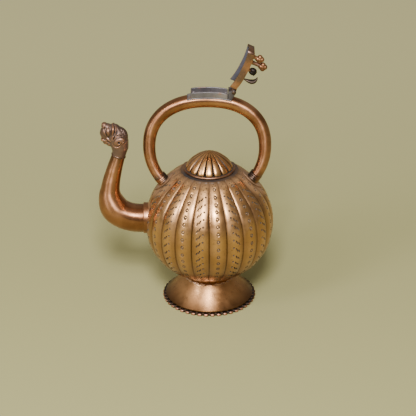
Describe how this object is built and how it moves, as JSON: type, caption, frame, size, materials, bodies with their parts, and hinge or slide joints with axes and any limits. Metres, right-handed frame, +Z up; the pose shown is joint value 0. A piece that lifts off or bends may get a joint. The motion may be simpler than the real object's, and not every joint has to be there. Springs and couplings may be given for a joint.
{
  "type": "gangajali",
  "caption": "Lobed brass water ewer on a flared foot, with an animal-headed spout, a hollow loop handle that is also the filling pipe, and a hinged cap on top.",
  "frame": {"origin": "on the plane that the foot stands on, under the middle of the whole length and width", "axes": "+Z up, X along the plane of the handle with the spout towards -X, +Y away from the pictured side"},
  "size_m": [0.168, 0.1228, 0.2639],
  "materials": {
    "antique_brass": "satin, aged golden brown",
    "aged_copper": "polished, aged red brown copper",
    "dark_patina": "dark patina and solder",
    "slate_patina": "slate grey oxide"
  },
  "bodies": {
    "root": {"body_shell": "antique_brass", "dome_cap": "antique_brass", "dome_ring": "aged_copper", "foot": "antique_brass", "foot_rim": "antique_brass", "spout_tube": "aged_copper", "spout_collar": "aged_copper", "spout_neck_band": "dark_patina", "spout_head": "aged_copper", "handle_tube": "aged_copper", "handle_plate_left": "antique_brass", "handle_plate_right": "antique_brass", "handle_collar_left": "dark_patina", "handle_collar_right": "dark_patina", "filler_saddle": "slate_patina", "filler_collar": "slate_patina", "hinge_ear_near": "slate_patina", "hinge_ear_far": "slate_patina", "hinge_pin": "dark_patina"},
    "lid": {"lid_shell": "aged_copper", "lid_strap": "aged_copper", "spray_base": "aged_copper", "spray_leaf": "dark_patina", "spray_bud": "dark_patina", "spray_petal_upper": "aged_copper", "spray_petal_end": "aged_copper"}
  },
  "joints": [
    {"name": "lid_hinge", "type": "hinge", "parent": "root", "child": "lid", "pos_m": [0.04561, 0, 0.2197], "axis": [0, 1, 0], "range_deg": [-115, 0]}
  ]
}
